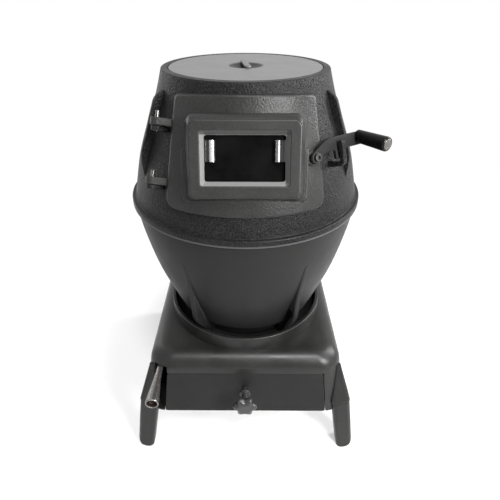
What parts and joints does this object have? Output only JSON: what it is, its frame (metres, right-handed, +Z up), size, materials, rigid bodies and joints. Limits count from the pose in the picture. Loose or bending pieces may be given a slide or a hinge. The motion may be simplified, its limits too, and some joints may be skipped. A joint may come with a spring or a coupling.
{
  "type": "potbelly stove",
  "caption": "Small cast-iron potbelly stove: square ash base on splayed legs, ribbed fire bowl, domed barrel with glazed door, lid, latch handle and shaker.",
  "frame": {"origin": "on the floor, under the stove's own upright axis", "axes": "+Z up, the glazed door and the ash drawer face -Y, the flue collar faces +Y, the latch handle is on the +X side"},
  "size_m": [0.4076, 0.464, 0.6533],
  "materials": {
    "cast_satin": "satin black stove paint on smooth cast iron",
    "cast_rough": "rough sand-cast grain, black",
    "lid_cast": "ground smooth, dull grey",
    "knob_cast": "fine cast grey",
    "dark_steel": "dark mill finish",
    "bright_steel": "bright drawn steel",
    "grip_gloss": "gloss black heat-resistant moulding",
    "stove_glass": "dark sooted ceramic glass",
    "rope": "knitted glass-fibre rope"
  },
  "bodies": {
    "stove": {"base_casting": "cast_satin", "leg_front_left": "cast_satin", "leg_rear_left": "cast_satin", "leg_front_right": "cast_satin", "leg_rear_right": "cast_satin", "leg_stud_front_left": "bright_steel", "leg_stud_rear_left": "bright_steel", "leg_stud_front_right": "bright_steel", "leg_stud_rear_right": "bright_steel", "fire_bowl": "cast_satin", "belly_seal": "rope", "grate_frame": "cast_rough", "upper_barrel": "cast_rough", "flue_collar": "cast_rough", "flue_bolt_1": "bright_steel", "flue_bolt_2": "bright_steel", "flue_bolt_3": "bright_steel", "hinge_pin_upper": "bright_steel", "hinge_pin_lower": "bright_steel"},
    "door": {"door": "cast_satin", "door_glass": "stove_glass", "glass_clip_left": "bright_steel", "glass_clip_right": "bright_steel", "door_rope_seal": "rope", "handle_pivot_bolt": "bright_steel", "handle_washer": "bright_steel"},
    "handle": {"handle_arm": "cast_satin", "handle_grip": "grip_gloss", "handle_grip_cap": "bright_steel"},
    "lid": {"lid": "lid_cast", "lid_lift_bar": "lid_cast"},
    "drawer": {"drawer_front": "cast_satin", "ash_pan": "dark_steel"},
    "knob": {"star_knob": "knob_cast", "knob_stem": "dark_steel", "knob_nut": "bright_steel"},
    "shaker": {"shaker_rod": "bright_steel"},
    "grate": {"grate": "cast_rough", "grate_arm": "dark_steel", "grate_nut": "bright_steel"}
  },
  "joints": [
    {"name": "door_swing", "type": "hinge", "parent": "stove", "child": "door", "pos_m": [-0.12422, -0.12913, 0.5365], "axis": [-0.1254, -0.354, -0.9268], "range_deg": [0, 110]},
    {"name": "handle_lift", "type": "hinge", "parent": "door", "child": "handle", "pos_m": [0.0867, -0.13863, 0.561], "axis": [0.52, -0.7827, 0.342], "range_deg": [0, 50]},
    {"name": "lid_lift", "type": "slide", "parent": "stove", "child": "lid", "axis": [0, 0, 1], "range_m": [0, 0.15]},
    {"name": "drawer_pull", "type": "slide", "parent": "stove", "child": "drawer", "axis": [0, -1, 0], "range_m": [0, 0.25]},
    {"name": "knob_turn", "type": "hinge", "parent": "drawer", "child": "knob", "pos_m": [0, -0.2, 0.147], "axis": [0, -1, 0], "continuous": true},
    {"name": "shaker_pull", "type": "slide", "parent": "stove", "child": "shaker", "axis": [0, -1, 0], "range_m": [0, 0.03]},
    {"name": "grate_turn", "type": "hinge", "parent": "stove", "child": "grate", "pos_m": [0, 0, 0.24], "axis": [0, 0, 1], "range_deg": [0, 11.46]}
  ],
  "couplings": [
    {"joint": "grate_turn", "follows": "shaker_pull", "rad_per_m": 6.6667}
  ]
}
